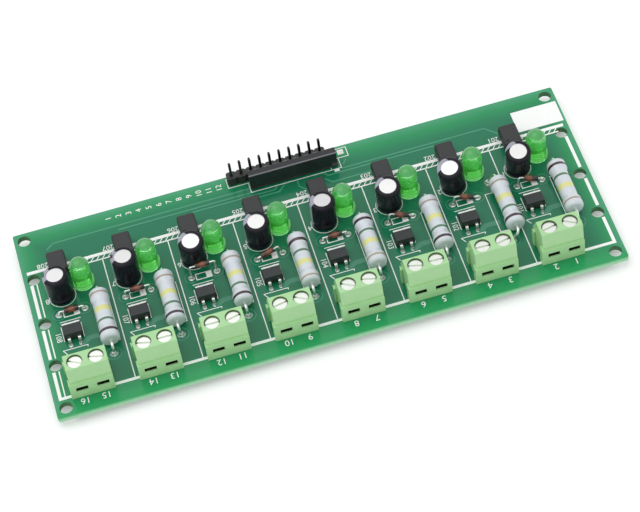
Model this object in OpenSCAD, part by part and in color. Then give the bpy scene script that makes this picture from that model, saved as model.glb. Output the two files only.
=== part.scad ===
// Eight-channel mains optocoupler isolation module, built on one circuit board.
// Millimetres. The origin is the middle of the board's outline, on the plane that the solder joints stand on.
// +X runs along the row of channels, +Y towards the pin header, +Z up out of the component side.

/* [Board] */
// Thickness of the board
board_t = 1.6; // [1:0.1:2.4]
// Radius of the board's corners
board_corner_r = 0.5; // [0.3:0.1:2]
// Bare board left of the first channel
left_margin = 3.5; // [3:0.1:8]
// Bare board right of the last channel
right_margin = 4.5; // [3:0.1:8]
// Distance from one channel to the next
channel_pitch = 16.5; // [16:0.1:20]
// Diameter of the mounting holes
mount_hole_d = 3.2; // [2.2:0.1:3.6]
// Distance of the mounting holes from the board's edges
mount_inset = 2.5; // [2.2:0.1:2.9]
// Distance of the inner mounting holes from the middle of the board
inner_hole_y = 13.4; // [10:0.1:16]
// Offset of the middle pair of mounting holes towards the header
middle_hole_y = -0.6; // [-4:0.1:4]

/* [Leads and solder] */
// Play between a lead and its plated hole, all round
hole_play = 0.15; // [0.1:0.05:0.3]
// Width of the solder ring around a hole
solder_ring = 0.5; // [0.3:0.05:0.7]
// How far the clipped leads stand below the board
lead_tail = 1.8; // [1.2:0.1:3]
// Height of the solder cone on each lead
solder_h = 1.1; // [0.5:0.1:1.2]
// Height of the solder fillets round hand-set leads on the component side
fillet_h = 0.6; // [0.5:0.05:0.8]
// Width of those fillets on the board
fillet_w = 0.35; // [0.25:0.05:0.5]
// Height of the solder round the leads of parts that stand upright
foot_fillet_h = 0.2; // [0.1:0.05:0.3]
// Gap between that solder and the part above it
seat_gap = 0.05; // [0.05:0.05:0.2]
// Play between pieces that slide together
slip = 0.1; // [0.05:0.05:0.15]

/* [Terminal blocks] */
// Distance between the two ways of a block
way_pitch = 5.08; // [4.8:0.02:6]
// Middle of the block from the channel's left line
terminal_x = 6.4; // [6:0.1:8]
// Front face of the block from the board's front edge
terminal_setback = 4.25; // [3:0.05:10]
// Depth of the block
terminal_depth = 8.1; // [7.8:0.1:10]
// Height of the block
terminal_h = 9.8; // [9.2:0.1:13]
// Height of the ledge above the wire entries
ledge_h = 5.2; // [5:0.1:6]
// Width of the ledge
ledge_w = 0.6; // [0.3:0.1:0.9]
// Setback of the top face behind the front face
top_setback = 1.2; // [0.9:0.1:1.3]
// Depth of the top face
top_depth = 4.4; // [4.2:0.1:4.8]
// Height at which the back wall starts to lean forwards
back_lean_h = 5.4; // [4:0.1:6.5]
// Screw axis behind the front face
screw_setback = 3.3; // [3.25:0.05:3.6]
// Diameter of the screw wells
well_d = 3.8; // [3.6:0.1:3.9]
// Diameter of the screw heads
screw_head_d = 3.5; // [3:0.1:3.5]
// Height of the screw heads
screw_head_h = 1.6; // [1.2:0.1:1.8]
// Depth of the screw heads below the top face
screw_recess = 0.45; // [0.3:0.05:1.2]
// Diameter of the screw shanks
screw_shank_d = 2.4; // [2:0.1:2.6]
// Width of the screwdriver slots
slot_w = 0.5; // [0.4:0.05:0.8]
// Depth of the screwdriver slots
slot_depth = 0.7; // [0.4:0.1:0.9]
// Width of a wire entry
entry_w = 2.9; // [2.4:0.1:3.2]
// Lowest point of a wire entry at the front face
entry_z = 2.4; // [2:0.1:2.8]
// Height of a wire entry
entry_h = 1.4; // [1.2:0.1:1.8]
// Thickness of the lip under a wire entry
entry_lip = 0.3; // [0.2:0.05:0.5]
// Width of the chamber behind a wire entry
chamber_w = 3.7; // [3.5:0.1:3.9]
// Depth of the chamber
chamber_depth = 4.8; // [4.4:0.1:5]
// Thickness of the wall in front of the chamber
entry_wall = 1; // [0.9:0.1:1.2]
// Floor of the chamber above the board
chamber_floor = 0.9; // [0.6:0.1:1.2]
// Wall of the clamp box
clamp_wall = 0.6; // [0.4:0.1:0.7]
// Thickness of the wire guard under each screw
guard_t = 0.3; // [0.2:0.05:0.4]
// Diameter of the terminal pins
terminal_pin_d = 1; // [0.8:0.1:1.2]
// Lip on the left of the lower front, which covers the joint between blocks
lip_w = 0.4; // [0.2:0.05:0.6]
// Depth of the lip from the front face
lip_depth = 2; // [1:0.1:4]
// Depth of the dovetail that joins blocks side by side
dovetail_depth = 0.5; // [0.3:0.1:0.7]
// Width of the dovetail at its root
dovetail_w = 1.4; // [1.2:0.1:1.8]

/* [Bridge rectifiers] */
// Middle of the bridge from the channel's left line
bridge_x = 5; // [4:0.1:6]
// Gap between the terminal block and the bridge's feet
bridge_gap = 7.15; // [4:0.05:10]
// Length of the body along the channel row
bridge_l = 4.7; // [4.2:0.1:5.2]
// Width of the body between its leads
bridge_w = 3.9; // [3.5:0.1:4.3]
// Height of the body
bridge_h = 2.5; // [2.2:0.1:3]
// Body's clearance above the board
bridge_standoff = 0.15; // [0.05:0.05:0.3]
// Distance between neighbouring leads
bridge_lead_pitch = 2.5; // [2.2:0.05:2.7]
// Width of a lead
bridge_lead_w = 0.7; // [0.5:0.05:0.9]
// Thickness of a lead
bridge_lead_t = 0.2; // [0.15:0.05:0.3]
// Reach of a lead out of the body
bridge_lead_reach = 1.45; // [1.2:0.05:1.8]
// Length of a lead's flat foot
bridge_foot = 0.7; // [0.5:0.05:0.8]
// Drop of the bevel that marks one long edge
bridge_bevel = 0.45; // [0.2:0.05:0.6]

/* [Diodes] */
// Middle of the diode from the channel's left line
diode_x = 6; // [5.5:0.1:6.2]
// Gap between the bridge's feet and the diode
diode_gap = 2.3; // [1:0.05:4]
// Diameter of the glass body
diode_d = 1.5; // [1.3:0.1:1.8]
// Length of the glass body
diode_l = 3.6; // [3.2:0.1:3.8]
// Diameter of the leads
diode_lead_d = 0.5; // [0.4:0.05:0.6]
// Distance between the lead holes
diode_pitch = 6.4; // [6.2:0.1:7]
// Bend radius of the leads
diode_bend_r = 0.5; // [0.4:0.05:0.6]
// Lowest height of a level diode's axis above the board
diode_rise = 0.95; // [0.95:0.05:2]

/* [Capacitors] */
// Middle of the capacitor from the channel's left line
cap_x = 4.7; // [4.2:0.1:4.7]
// Gap between the diode and the capacitor
cap_gap = 1.5; // [1.2:0.05:3]
// Diameter over the sleeve
cap_d = 6.3; // [5:0.1:6.8]
// Height over the sleeve
cap_h = 8.4; // [6:0.1:11]
// Thickness of the sleeve
sleeve_t = 0.15; // [0.1:0.05:0.25]
// Diameter of the can's bare top
cap_top_d = 4.2; // [3.6:0.1:4.4]
// Rounding of the can's rim
cap_rim_r = 0.6; // [0.4:0.1:0.7]
// Height of the crimp groove above the sleeve's foot
crimp_z = 1.6; // [1.3:0.1:2]
// Depth of the crimp groove
crimp_depth = 0.3; // [0.15:0.05:0.4]
// Thickness of the rubber bung
bung_t = 1; // [0.6:0.1:1.2]
// Diameter of the rubber bung
bung_d = 4.6; // [4.4:0.1:4.8]
// Diameter of the leads
cap_lead_d = 0.5; // [0.4:0.05:0.6]
// Distance between the leads
cap_lead_pitch = 2.5; // [2:0.1:2.8]

/* [Optocouplers] */
// Middle of the optocoupler from the channel's left line
opto_x = 5.6; // [4.6:0.1:6.6]
// Gap between the capacitor and the nearer pin row
opto_gap = 0.84; // [0.6:0.02:3]
// Length of the body along its pin rows
opto_l = 4.58; // [4.2:0.02:5]
// Width of the body across its pin rows
opto_w = 6.5; // [6:0.1:6.9]
// Height of the body
opto_h = 3.5; // [3.2:0.1:4]
// Body's clearance above the board
opto_standoff = 0.8; // [0.5:0.1:1.2]
// Distance between the pin rows
opto_row = 7.62; // [7.5:0.02:8]
// Distance between neighbouring pins
opto_pin_pitch = 2.54; // [2.3:0.02:2.7]
// Width of a pin's shoulder
opto_shoulder_w = 1.2; // [0.8:0.1:1.4]
// Width of a pin in its hole
opto_pin_w = 0.5; // [0.4:0.05:0.6]
// Thickness of a pin
opto_pin_t = 0.26; // [0.2:0.02:0.32]

/* [Resistors] */
// Middle of the resistor from the channel's left line
resistor_x = 13.1; // [12.9:0.1:13.6]
// Gap between the terminal block and the nearer lead hole
resistor_gap = 1.55; // [1:0.05:3]
// Diameter over the end caps
resistor_d = 4.7; // [4:0.1:4.9]
// Diameter of the waist
resistor_waist_d = 4.05; // [3.6:0.05:4.3]
// Length of the body
resistor_l = 15.2; // [13:0.1:17]
// Length of each end cap
resistor_cap_l = 3.6; // [2.5:0.1:4]
// Diameter of the leads
resistor_lead_d = 0.75; // [0.6:0.05:0.9]
// Distance from the body's end to its lead hole
resistor_lead_out = 1.9; // [1.6:0.1:2.5]
// Bend radius of the leads
resistor_bend_r = 1; // [0.8:0.05:1.2]
// Body's clearance above the board
resistor_standoff = 0.3; // [0.1:0.05:1]

/* [Indicator lights] */
// Light's axis from the optocoupler's side, along the channel row
led_offset = 2.6; // [2.5:0.05:3.5]
// Gap between the resistor's lead hole and the light's flange
led_gap = 1.4; // [1:0.1:3]
// Diameter of the lens
led_d = 4.9; // [4:0.1:5.2]
// Diameter of the flange
led_flange_d = 5.6; // [5.5:0.1:6]
// Thickness of the flange
led_flange_t = 1; // [0.8:0.1:1.3]
// Height of the lens from the flange's underside
led_h = 8.6; // [7.5:0.1:9.4]
// Flange's clearance above the board
led_standoff = 0.2; // [0.1:0.1:2]
// Width of the square leads
led_lead_w = 0.5; // [0.4:0.05:0.6]
// Distance between the leads
led_lead_pitch = 2.54; // [2.3:0.02:2.7]

/* [Resistor network] */
// Middle of the network from the middle of the board
network_x = 1; // [-3:0.1:4]
// Gap between the optocouplers' pins and the network
network_gap = 4.24; // [1.5:0.02:6]
// Number of pins
network_pins_n = 9; // [5:1:10]
// Distance between neighbouring pins
network_pitch = 2.54; // [2.4:0.02:2.6]
// Body beyond the end pins
network_end = 1.05; // [0.8:0.05:1.3]
// Thickness of the body
network_t = 2.5; // [2:0.1:3]
// Height of the body
network_h = 5; // [4:0.1:6]
// Body's clearance above the board
network_standoff = 0.4; // [0.2:0.1:1]
// Width of a pin
network_pin_w = 0.5; // [0.4:0.05:0.6]

/* [Pin header] */
// Middle of the header from the middle of the board
header_x = -2.54; // [-6:0.02:4]
// Gap between the network and the header
header_gap = 0.65; // [0.5:0.05:4]
// Bare board behind the header
header_edge = 0.75; // [0.3:0.05:4]
// Number of pins
header_n = 10; // [4:1:14]
// Number of empty holes right of the last pin
header_spare_n = 2; // [0:1:3]
// Distance between neighbouring pins
header_pitch = 2.54; // [2.4:0.02:2.6]
// Width of the housing
header_w = 2.5; // [2.3:0.1:2.8]
// Height of the housing
header_h = 2.54; // [2:0.02:3.5]
// Width of the square pins
header_pin_w = 0.64; // [0.5:0.02:0.7]
// Height of the pins' tips above the board
header_pin_h = 7.3; // [5:0.1:12]
// Length of a pin's tapered tip
header_tip = 0.5; // [0.2:0.05:0.8]
// Corner cut between neighbouring positions
header_notch = 0.4; // [0.2:0.05:0.6]

/* [Hidden] */
$fn = 48;
channels = 8;
sides = [-1, 1];
overlap = 0.01;

// Stations along Y, measured from the board's front edge and then from its middle
terminal_back = terminal_setback + terminal_depth;
bridge_span = bridge_w + 2 * bridge_lead_reach;
bridge_mid = terminal_back + bridge_gap + bridge_span / 2;
diode_mid = bridge_mid + bridge_span / 2 + diode_gap + diode_d / 2;
cap_mid = diode_mid + diode_d / 2 + cap_gap + cap_d / 2;
opto_mid = cap_mid + cap_d / 2 + opto_gap + opto_row / 2;
network_mid = opto_mid + opto_row / 2 + network_gap + network_t / 2;
header_mid = network_mid + network_t / 2 + header_gap + header_w / 2;
resistor_pitch = resistor_l + 2 * resistor_lead_out;
resistor_mid = terminal_back + resistor_gap + resistor_pitch / 2;
led_mid = resistor_mid + resistor_pitch / 2 + led_gap + led_flange_d / 2;
board_w = header_mid + header_w / 2 + header_edge;
board_l = left_margin + channels * channel_pitch + right_margin;
front_edge = -board_w / 2;
bridge_y = front_edge + bridge_mid;
diode_y = front_edge + diode_mid;
cap_y = front_edge + cap_mid;
opto_y = front_edge + opto_mid;
network_y = front_edge + network_mid;
header_y = front_edge + header_mid;
resistor_y = front_edge + resistor_mid;
led_y = front_edge + led_mid;
screw_y = front_edge + terminal_setback + screw_setback;
led_x = opto_x + opto_l / 2 + led_offset;
top_z = lead_tail + board_t;

// How the hand-set parts stand, from channel 1 to channel 8. Leans are in degrees: a resistor's to its left,
// a capacitor's to the front and to the right. A diode has its low end, 1 for the right one and 0 for neither,
// its lift in millimetres when level, and the share of the gap behind it that its lean takes up.
resistor_lean = [2, 36, 8, 3, 0, -3, -7, 3];
cap_lean = [[13.5, -1], [8, -5.5], [10, -0.5], [0, 2], [6.5, 0], [9, 0.5], [0, 0], [0.5, -2]];
diode_low_end = [1, 1, 1, 0, -1, 0, 0, 0];
diode_lift = [0, 0, 0, 0, 0, 2.6, 0.75, 0];
diode_lean_share = [0.2, 0.1, 0.2, 0.1, 0.1, 0.3, 0.2, 0.1];

// Left line of a channel: channel 1 is the rightmost, as on the board's own numbering
function cell_x(channel) = -board_l / 2 + left_margin + (channels - channel) * channel_pitch;

// Both ends of a pair, one apart from the other by a pitch
function pair(pitch) = [for (side = sides) side * pitch / 2];

// Evenly spaced places about zero
function row(count, pitch) = [for (i = [0:count - 1]) (i - (count - 1) / 2) * pitch];

// Lead holes of every kind, as [x, y] on the board
terminal_spots = [for (c = [1:channels], x = pair(way_pitch)) [cell_x(c) + terminal_x + x, screw_y]];
diode_spots = [for (c = [1:channels], x = pair(diode_pitch)) [cell_x(c) + diode_x + x, diode_y]];
cap_spots = [for (c = [1:channels], x = pair(cap_lead_pitch)) [cell_x(c) + cap_x + x, cap_y]];
resistor_spots = [for (c = [1:channels], y = pair(resistor_pitch)) [cell_x(c) + resistor_x, resistor_y + y]];
led_spots = [for (c = [1:channels], x = pair(led_lead_pitch)) [cell_x(c) + led_x + x, led_y]];
opto_spots = [for (c = [1:channels], x = pair(opto_pin_pitch), y = pair(opto_row))
    [cell_x(c) + opto_x + x, opto_y + y]];
network_spots = [for (x = row(network_pins_n, network_pitch)) [network_x + x, network_y]];
header_spots = [for (x = row(header_n, header_pitch)) [header_x + x, header_y]];
spare_spots = [for (i = [1:1:header_spare_n]) [header_x + ((header_n - 1) / 2 + i) * header_pitch, header_y]];

// Across the corners of a square lead
function corners(w) = w * sqrt(2);

// Each kind of hole with the size of the lead that goes through it
lead_kinds = [
    [terminal_spots, terminal_pin_d],
    [diode_spots, diode_lead_d],
    [cap_spots, cap_lead_d],
    [resistor_spots, resistor_lead_d],
    [led_spots, corners(led_lead_w)],
    [opto_spots, norm([opto_pin_w, opto_pin_t])],
    [network_spots, corners(network_pin_w)],
    [header_spots, corners(header_pin_w)]
];

mount_x = board_l / 2 - mount_inset;
mount_rows = [-board_w / 2 + mount_inset, -inner_hole_y, middle_hole_y, inner_hole_y, board_w / 2 - mount_inset];

// Points along an arc, for profiles
function arc(centre, r, from, to, steps = 5) =
    [for (i = [0:steps]) centre + r * [cos(from + (to - from) * i / steps), sin(from + (to - from) * i / steps)]];

// A channel's own place on top of the board
module on_channel(channel, x, y) {
    translate([cell_x(channel) + x, y, top_z]) children();
}

// The same piece in every channel
module in_every_channel(x, y) {
    for (c = [1:channels]) on_channel(c, x, y) children();
}

// Board: a rounded plate drilled for its leads and its ten mounting screws
module board() {
    color("seagreen")
    difference() {
        translate([0, 0, lead_tail]) linear_extrude(board_t) board_outline();
        for (kind = lead_kinds, spot = kind[0]) drill(spot, kind[1] + 2 * hole_play);
        for (spot = spare_spots) drill(spot, corners(header_pin_w) + 2 * hole_play);
        for (side = sides, y = mount_rows) drill([side * mount_x, y], mount_hole_d);
    }
}

module board_outline() {
    square([board_l, board_w - 2 * board_corner_r], center = true);
    square([board_l - 2 * board_corner_r, board_w], center = true);
    for (x = sides, y = sides)
        translate([x * (board_l / 2 - board_corner_r), y * (board_w / 2 - board_corner_r)])
            circle(r = board_corner_r);
}

module drill(spot, d) {
    translate([spot[0], spot[1], 0]) cylinder(d = d, h = top_z + board_t);
}

// Solder joints: a hollow-sided cone under every hole, with the clipped end of its lead
module solder_joints() {
    color("silver")
    for (kind = lead_kinds, spot = kind[0])
        translate([spot[0], spot[1], 0]) solder_joint(kind[1] / 2);
}

module solder_joint(lead_r) {
    ring_r = lead_r + hole_play + solder_ring;
    waist_r = lead_r + (ring_r - lead_r) * 0.35;
    nick = lead_r * 0.3;
    rotate_extrude()
        polygon([[0, 0], [lead_r - nick, 0], [lead_r, nick], [lead_r, lead_tail - solder_h],
                 [waist_r, lead_tail - solder_h / 2], [ring_r, lead_tail - solder_h * 0.08],
                 [ring_r, lead_tail], [0, lead_tail]]);
}

// Terminal block: a moulded housing with two wire entries, chambers and screw wells
module terminal_housing(channel) {
    color("yellowgreen")
    on_channel(channel, terminal_x, front_edge + terminal_setback)
        difference() {
            union() {
                terminal_body();
                translate([-way_pitch - lip_w, 0, 0]) cube([lip_w + overlap, lip_depth, ledge_h]);
                translate([-way_pitch, 0, 0]) dovetail(dovetail_w, dovetail_depth);
            }
            translate([way_pitch, 0, 0]) dovetail(dovetail_w + 2 * slip, dovetail_depth + slip);
            for (x = pair(way_pitch)) translate([x, 0, 0]) terminal_way();
        }
}

module terminal_body() {
    along_row(2 * way_pitch)
        polygon([[0, 0], [terminal_depth, 0], [terminal_depth, back_lean_h],
                 [top_setback + top_depth, terminal_h], [top_setback, terminal_h],
                 [ledge_w, ledge_h], [0, ledge_h]]);
}

// A profile drawn in depth and height, stretched along the channel row about its middle
module along_row(length) {
    rotate([90, 0, 90]) translate([0, 0, -length / 2]) linear_extrude(length) children();
}

module dovetail(w, depth) {
    root = 0.3 * w;
    linear_extrude(back_lean_h)
        translate([0, terminal_depth - w])
            polygon([[overlap, -root], [overlap, root], [-depth, w / 2], [-depth, -w / 2]]);
}

module terminal_way() {
    chamber_top = ledge_h;
    along_row(entry_w)
        polygon([[-entry_wall, entry_z], [entry_lip, entry_z], [entry_wall, chamber_floor],
                 [entry_wall + overlap, chamber_floor], [entry_wall + overlap, entry_z + entry_h],
                 [-entry_wall, entry_z + entry_h]]);
    along_row(chamber_w)
        translate([entry_wall, chamber_floor]) square([chamber_depth, chamber_top - chamber_floor]);
    translate([0, screw_setback, chamber_top - overlap]) cylinder(d = well_d, h = terminal_h);
    translate([0, screw_setback, -chamber_floor])
        cylinder(d = terminal_pin_d + 2 * slip, h = 2 * chamber_floor + overlap);
}

// The clamp box fills its chamber, less a little play
clamp_w = chamber_w - 2 * slip;
clamp_depth = chamber_depth - 2 * slip;
clamp_h = ledge_h - chamber_floor - slip;
screw_tip = chamber_floor + clamp_h - 2 * clamp_wall;

module at_every_way() {
    in_every_channel(terminal_x, front_edge + terminal_setback)
        for (x = pair(way_pitch)) translate([x, 0, 0]) children();
}

// Contacts: a stamped box open towards the wire, with its solder pin
module terminal_contacts() {
    color("lightgray")
    at_every_way() {
        translate([0, 0, chamber_floor])
            difference() {
                along_row(clamp_w) translate([entry_wall + slip, 0]) square([clamp_depth, clamp_h]);
                along_row(clamp_w - 2 * clamp_wall)
                    translate([0, clamp_wall]) square([terminal_depth, clamp_h - 2 * clamp_wall]);
                translate([0, screw_setback, clamp_h / 2]) cylinder(d = screw_shank_d + 2 * slip, h = clamp_h);
            }
        translate([0, screw_setback, -board_t])
            cylinder(d = terminal_pin_d, h = board_t + chamber_floor + overlap);
    }
}

// Wire guards: a leaf under each screw's tip, turned up behind the wire
module terminal_guards() {
    guard_w = clamp_w - 2 * clamp_wall - 2 * slip;
    guard_rear = entry_wall + slip + clamp_depth - 2 * slip;
    color("gainsboro")
    at_every_way()
        along_row(guard_w)
            polygon([[entry_wall + 2 * slip, screw_tip - guard_t], [guard_rear, screw_tip - guard_t],
                     [guard_rear, screw_tip - 4 * guard_t], [guard_rear + guard_t / 2, screw_tip - 4 * guard_t],
                     [guard_rear + guard_t / 2, screw_tip], [entry_wall + 2 * slip, screw_tip]]);
}

// Screws: slotted cheese heads at the bottom of their wells, each left at its own turn
module terminal_screws() {
    head_z = terminal_h - screw_recess - screw_head_h;
    color("silver")
    for (c = [1:channels], way = [0, 1])
        on_channel(c, terminal_x + pair(way_pitch)[way], screw_y)
            rotate(screw_turn(c, way))
                difference() {
                    union() {
                        translate([0, 0, head_z]) cylinder(d = screw_head_d, h = screw_head_h);
                        translate([0, 0, screw_tip]) cylinder(d = screw_shank_d, h = head_z - screw_tip + overlap);
                    }
                    translate([-well_d, -slot_w / 2, head_z + screw_head_h - slot_depth])
                        cube([2 * well_d, slot_w, 2 * slot_depth]);
                }
}

function screw_turn(channel, way) = 14 * ((3 * channel + 5 * way) % 4) - 30;

// Resistors: a coated dog-bone body lying along the channel
module resistor(channel) {
    end_r = resistor_d / 2;
    waist_r = resistor_waist_d / 2;
    half = resistor_l / 2;
    round_r = 0.19 * resistor_d;
    slope = 0.3 * resistor_cap_l;
    foot = half - resistor_cap_l;
    color("lightsteelblue")
    on_channel(channel, resistor_x, resistor_y)
        rotate(90) leaning(resistor_lean[channel - 1])
            translate([0, 0, resistor_rise(channel)]) rotate([0, 90, 0])
                rotate_extrude()
                    polygon(concat(
                        [[0, -half]],
                        arc([end_r - round_r, -half + round_r], round_r, -90, 0),
                        [[end_r, -foot - slope], [waist_r, -foot], [waist_r, foot], [end_r, foot + slope]],
                        arc([end_r - round_r, half - round_r], round_r, 0, 90),
                        [[0, half]]));
}

// Height of a resistor's axis over its pivot, more the further it leans, so that it clears the board
function resistor_rise(channel) =
    (resistor_standoff + resistor_d / 2 - fillet_h / 2) / cos(resistor_lean[channel - 1]);

// Hand-set axial parts lean towards -Y and dip at +X, about a point inside the solder that holds their wires
module leaning(lean, dip = 0) {
    translate([0, 0, fillet_h / 2]) rotate([lean, 0, 0]) rotate([0, dip, 0]) children();
}

// One wire of an axial part: out of the body along +X, round a bend and down through its fillet and the board.
// At a dipped end it runs straight into the fillet.
module axial_lead(body_half, reach, rise, d, bend_r, lean, dip = 0) {
    foot_x = reach * cos(dip);
    foot_z = reach * sin(dip);
    leaning(lean, dip)
        if (dip > 0)
            translate([body_half, 0, rise]) rotate([0, 90, 0]) cylinder(d = d, h = foot_x - body_half);
        else
            translate([foot_x - bend_r, 0, rise - bend_r]) {
                translate([0, 0, bend_r]) rotate([0, -90, 0]) cylinder(d = d, h = foot_x - bend_r - body_half);
                rotate([90, 0, 0]) rotate_extrude(angle = 90) translate([bend_r, 0]) circle(d = d);
                translate([bend_r, 0, 0]) rotate([180, 0, 0]) cylinder(d = d, h = rise - bend_r - foot_z);
            }
    translate([reach, 0, 0]) lead_foot(d, fillet_h);
}

// The solder round a lead on the board, and the lead's own end through the board
module lead_foot(d, h) {
    cylinder(d1 = d + 2 * fillet_w, d2 = d + fillet_w / 2, h = h);
    translate([0, 0, -board_t]) cylinder(d = d, h = board_t + overlap);
}

module resistor_leads() {
    color("silver")
    for (c = [1:channels], end = sides)
        on_channel(c, resistor_x, resistor_y) rotate(end * 90)
            axial_lead(resistor_l / 2, resistor_pitch / 2, resistor_rise(c), resistor_lead_d, resistor_bend_r,
                       end * resistor_lean[c - 1]);
}

// Capacitors: an aluminium can with a rounded rim, a crimp groove and a recess for its bung
can_r = cap_d / 2 - sleeve_t;
can_foot = sleeve_t;
can_top = cap_h - sleeve_t;
bung_top = can_foot + bung_t;

// Outline of the can, grown all round by a margin
module can_outline(grow) {
    r = can_r + grow;
    foot = can_foot - grow;
    top = can_top + grow;
    rim_r = cap_rim_r + grow;
    heel = 2 * sleeve_t;
    groove = 1.6 * crimp_depth;
    polygon(concat(
        [[0, foot], [r - heel, foot], [r, foot + heel], [r, crimp_z - groove], [r - crimp_depth, crimp_z],
         [r, crimp_z + groove]],
        arc([r - rim_r, top - rim_r], rim_r, 0, 90),
        [[0, top]]));
}

// A capacitor leans about the solder at its leads, lifted until its foot clears the board
function cap_lift(channel) = foot_fillet_h / 2 + seat_gap + cap_d / 2 * sin(norm(cap_lean[channel - 1]));

module cap_leaning(channel) {
    lean = cap_lean[channel - 1];
    on_channel(channel, cap_x, cap_y)
        translate([0, 0, foot_fillet_h / 2]) rotate([lean[0], 0, 0]) rotate([0, lean[1], 0]) children();
}

module cap_standing(channel) {
    cap_leaning(channel) translate([0, 0, cap_lift(channel)]) children();
}

module capacitor(channel) {
    color("whitesmoke")
    difference() {
        cap_standing(channel) rotate_extrude() can_outline(0);
        cap_standing(channel) translate([0, 0, -overlap]) cylinder(d = bung_d, h = bung_top + overlap);
        cap_wires(channel);
    }
}

// Both wires of a capacitor, from the solder on the board to inside its can
module cap_wires(channel) {
    lead_in = 0.6 * bung_t;
    slope = tan(cap_lean[channel - 1][1]);
    cap_leaning(channel)
        for (x = pair(cap_lead_pitch))
            translate([x, 0, x * slope])
                cylinder(d = cap_lead_d, h = cap_lift(channel) + bung_top + lead_in - x * slope);
}

module capacitor_sleeves() {
    color("black")
    for (c = [1:channels])
        cap_standing(c)
            rotate_extrude()
                difference() {
                    can_outline(sleeve_t);
                    can_outline(0);
                    translate([0, can_top - overlap]) square([cap_top_d / 2, 2 * sleeve_t]);
                    translate([0, -sleeve_t]) square([bung_d / 2, 2 * sleeve_t + overlap]);
                }
}

module capacitor_bungs() {
    color("dimgray")
    for (c = [1:channels])
        difference() {
            cap_standing(c) translate([0, 0, can_foot]) cylinder(d = bung_d, h = bung_t);
            cap_wires(c);
        }
}

module capacitor_leads() {
    color("silver")
    for (c = [1:channels]) {
        cap_wires(c);
        on_channel(c, cap_x, cap_y)
            for (x = pair(cap_lead_pitch)) translate([x, 0, 0]) lead_foot(cap_lead_d, foot_fillet_h);
    }
}

// Indicator lights: a domed lens with a flatted flange, moulded round its lead frame
module led(channel) {
    color("limegreen")
    on_channel(channel, led_x, led_y)
        difference() {
            translate([0, 0, led_standoff]) led_lens();
            led_lead_frame();
        }
}

module led_lens() {
    lens_r = led_d / 2;
    difference() {
        cylinder(d = led_flange_d, h = led_flange_t);
        translate([-led_flange_d, -led_flange_d / 2, -led_flange_t])
            cube([led_flange_d - lens_r, led_flange_d, 3 * led_flange_t]);
    }
    cylinder(r = lens_r, h = led_h - lens_r);
    translate([0, 0, led_h - lens_r]) sphere(r = lens_r);
}

// The cathode carries the cup, the anode the smaller post beside it
module led_lead_frame() {
    frame_z = led_standoff + led_flange_t + 2 * led_lead_w;
    cup = led_lead_w * [3, 2.2, 3.2];
    post = led_lead_w * [1.4, 1.6, 2.6];
    for (x = pair(led_lead_pitch))
        translate([x - led_lead_w / 2, -led_lead_w / 2, -board_t])
            cube([led_lead_w, led_lead_w, board_t + frame_z]);
    translate([-led_lead_pitch / 2 - led_lead_w / 2, -cup[1] / 2, frame_z - overlap]) cube(cup);
    translate([led_lead_pitch / 2 + led_lead_w / 2 - post[0], -post[1] / 2, frame_z - overlap]) cube(post);
}

module led_leads() {
    color("silver")
    in_every_channel(led_x, led_y) led_lead_frame();
}

// A moulded body with draft above and below its parting line
module drafted_body(size, draft) {
    intersection() {
        rotate([90, 0, 90]) translate([0, 0, -size[0] / 2]) linear_extrude(size[0])
            drafted_side(size[1], size[2], draft);
        rotate([90, 0, 0]) translate([0, 0, -size[1] / 2]) linear_extrude(size[1])
            drafted_side(size[0], size[2], draft);
    }
}

module drafted_side(w, h, draft) {
    polygon([[-w / 2, h / 2], [-w / 2 + draft, 0], [w / 2 - draft, 0], [w / 2, h / 2],
             [w / 2 - draft, h], [-w / 2 + draft, h]]);
}

// Optocouplers: a four-pin moulded body standing on the shoulders of its pins
module optocoupler(channel) {
    dot_d = 0.2 * opto_l;
    dot_inset = 0.22 * opto_l;
    draft = 0.04 * opto_h;
    color("darkslategray")
    on_channel(channel, opto_x, opto_y)
        difference() {
            translate([0, 0, opto_standoff]) drafted_body([opto_l, opto_w, opto_h], draft);
            opto_pin_set();
            translate([-opto_l / 2 + dot_inset, -opto_w / 2 + dot_inset, opto_standoff + opto_h - draft])
                cylinder(d = dot_d, h = 2 * draft);
        }
}

module opto_pin_set() {
    for (turn = [0, 180]) rotate(turn)
        for (x = pair(opto_pin_pitch)) translate([x, opto_row / 2, 0]) opto_pin();
}

// A pin: out of the body, round a bend, down to its shoulders and on through the board
module opto_pin() {
    root = 0.6 * (opto_row - opto_w);
    bend_r = opto_pin_t;
    arm_z = opto_standoff + opto_h / 2;
    arm_l = (opto_row - opto_pin_t) / 2 - bend_r - opto_w / 2 + root;
    inner = -opto_pin_t / 2;
    translate([-opto_shoulder_w / 2, inner - bend_r - arm_l, arm_z - opto_pin_t / 2])
        cube([opto_shoulder_w, arm_l, opto_pin_t]);
    translate([opto_shoulder_w / 2, inner - bend_r, arm_z - opto_pin_t / 2 - bend_r])
        strip_bend(opto_shoulder_w, opto_pin_t, bend_r);
    translate([-opto_shoulder_w / 2, inner, 0])
        cube([opto_shoulder_w, opto_pin_t, arm_z - opto_pin_t / 2 - bend_r]);
    translate([-opto_pin_w / 2, inner, -board_t]) cube([opto_pin_w, opto_pin_t, board_t + overlap]);
}

// A quarter bend in a flat strip: from upright at +Y to level at +Z, as wide as w towards -X
module strip_bend(w, t, r) {
    rotate([0, -90, 0]) rotate_extrude(angle = 90) translate([r, 0]) square([t, w]);
}

module optocoupler_pins() {
    color("silver")
    in_every_channel(opto_x, opto_y) opto_pin_set();
}

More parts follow.
